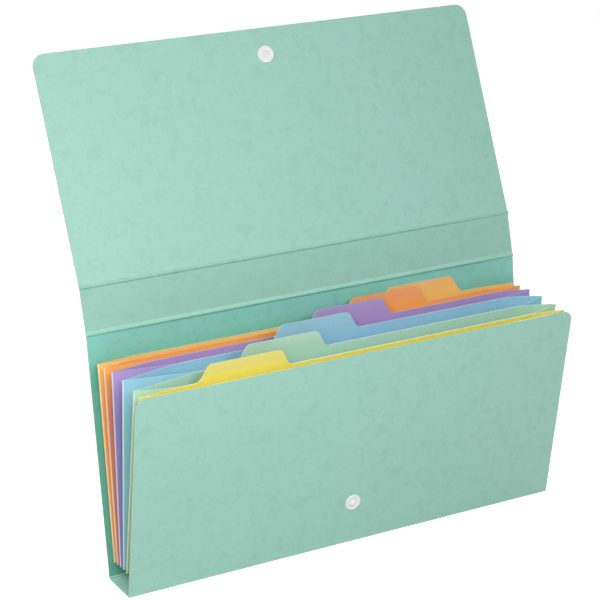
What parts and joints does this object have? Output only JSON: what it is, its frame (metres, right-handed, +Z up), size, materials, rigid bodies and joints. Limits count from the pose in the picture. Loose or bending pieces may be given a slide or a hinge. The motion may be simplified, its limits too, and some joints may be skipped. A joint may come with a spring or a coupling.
{
  "type": "accordion file folder",
  "caption": "Small expanding file with a creased board cover, fanned card pockets with stepped index tabs, bellows sides and a flap that snaps shut on a press stud.",
  "frame": {"origin": "middle of the base strip's underside, on the surface that the folder stands on", "axes": "+X to the viewer's right along the folder's width, +Y to the back, +Z up"},
  "size_m": [0.27, 0.1186, 0.2705],
  "materials": {
    "cover_board": "satin",
    "stud_plastic": "satin",
    "light_orange_card": "matte",
    "orange_card": "matte",
    "purple_card": "matte",
    "blue_card": "matte",
    "green_card": "matte",
    "yellow_card": "matte"
  },
  "bodies": {
    "base": {"base_strip": "cover_board"},
    "back": {"back_panel": "cover_board", "pocket_1_rear_wall": "light_orange_card", "pocket_1_left_gusset": "light_orange_card", "pocket_1_right_gusset": "light_orange_card"},
    "front": {"front_panel": "cover_board", "front_stud": "stud_plastic", "front_rivet": "stud_plastic"},
    "top": {"top_strip": "cover_board"},
    "flap": {"flap": "cover_board", "flap_socket": "stud_plastic", "flap_rivet": "stud_plastic"},
    "leaf_1": {"pocket_1_front_wall": "light_orange_card", "pocket_2_rear_wall": "orange_card", "pocket_2_left_gusset": "orange_card", "pocket_2_right_gusset": "orange_card"},
    "leaf_2": {"pocket_2_front_wall": "orange_card", "pocket_3_rear_wall": "purple_card", "pocket_3_left_gusset": "purple_card", "pocket_3_right_gusset": "purple_card"},
    "leaf_3": {"pocket_3_front_wall": "purple_card", "pocket_4_rear_wall": "blue_card", "pocket_4_left_gusset": "blue_card", "pocket_4_right_gusset": "blue_card"},
    "leaf_4": {"pocket_4_front_wall": "blue_card", "pocket_5_rear_wall": "green_card", "pocket_5_left_gusset": "green_card", "pocket_5_right_gusset": "green_card"},
    "leaf_5": {"pocket_5_front_wall": "green_card", "pocket_6_rear_wall": "yellow_card", "pocket_6_left_gusset": "yellow_card", "pocket_6_right_gusset": "yellow_card"},
    "leaf_6": {"pocket_6_front_wall": "yellow_card"}
  },
  "joints": [
    {"name": "flap_fold", "type": "hinge", "parent": "top", "child": "flap", "pos_m": [0, 0.03697, 0.15809], "axis": [1, 0, 0], "range_deg": [-30, 98.85]},
    {"name": "top_fold", "type": "hinge", "parent": "back", "child": "top", "pos_m": [0, 0.03042, 0.13399], "axis": [1, 0, 0], "range_deg": [-29.52, 97.22]},
    {"name": "back_fold", "type": "hinge", "parent": "base", "child": "back", "pos_m": [0, 0.0117, 0.0008], "axis": [1, 0, 0], "range_deg": [-2.45, 8.02]},
    {"name": "front_fold", "type": "hinge", "parent": "base", "child": "front", "pos_m": [0, -0.0117, 0.0008], "axis": [1, 0, 0], "range_deg": [-8.67, 2.65]},
    {"name": "leaf_1_fold", "type": "hinge", "parent": "back", "child": "leaf_1", "pos_m": [0, 0.00948, 0.0097], "axis": [1, 0, 0], "range_deg": [-1.63, 0.51], "deforming": ["pocket_1_left_gusset", "pocket_1_right_gusset"]},
    {"name": "leaf_2_fold", "type": "hinge", "parent": "leaf_1", "child": "leaf_2", "pos_m": [0, 0.00567, 0.01013], "axis": [1, 0, 0], "range_deg": [-2.73, 0.84], "deforming": ["pocket_2_left_gusset", "pocket_2_right_gusset"]},
    {"name": "leaf_3_fold", "type": "hinge", "parent": "leaf_2", "child": "leaf_3", "pos_m": [0, 0.00185, 0.01039], "axis": [1, 0, 0], "range_deg": [-3.83, 1.18], "deforming": ["pocket_3_left_gusset", "pocket_3_right_gusset"]},
    {"name": "leaf_4_fold", "type": "hinge", "parent": "leaf_3", "child": "leaf_4", "pos_m": [0, -0.00198, 0.0104], "axis": [1, 0, 0], "range_deg": [-5.73, 1.75], "deforming": ["pocket_4_left_gusset", "pocket_4_right_gusset"]},
    {"name": "leaf_5_fold", "type": "hinge", "parent": "leaf_4", "child": "leaf_5", "pos_m": [0, -0.0058, 0.01004], "axis": [1, 0, 0], "range_deg": [-3.93, 1.21], "deforming": ["pocket_5_left_gusset", "pocket_5_right_gusset"]},
    {"name": "leaf_6_fold", "type": "hinge", "parent": "leaf_5", "child": "leaf_6", "pos_m": [0, -0.00958, 0.00943], "axis": [1, 0, 0], "range_deg": [-0.428, 0.144], "deforming": ["pocket_6_left_gusset", "pocket_6_right_gusset"]}
  ],
  "couplings": [
    {"joint": "top_fold", "follows": "flap_fold", "ratio": 0.98331},
    {"joint": "back_fold", "follows": "flap_fold", "ratio": 0.080931},
    {"joint": "front_fold", "follows": "flap_fold", "ratio": -0.087506},
    {"joint": "leaf_1_fold", "follows": "flap_fold", "ratio": -0.01627},
    {"joint": "leaf_2_fold", "follows": "flap_fold", "ratio": -0.027398},
    {"joint": "leaf_3_fold", "follows": "flap_fold", "ratio": -0.038526},
    {"joint": "leaf_4_fold", "follows": "flap_fold", "ratio": -0.057747},
    {"joint": "leaf_5_fold", "follows": "flap_fold", "ratio": -0.039538},
    {"joint": "leaf_6_fold", "follows": "flap_fold", "ratio": -0.004131}
  ]
}
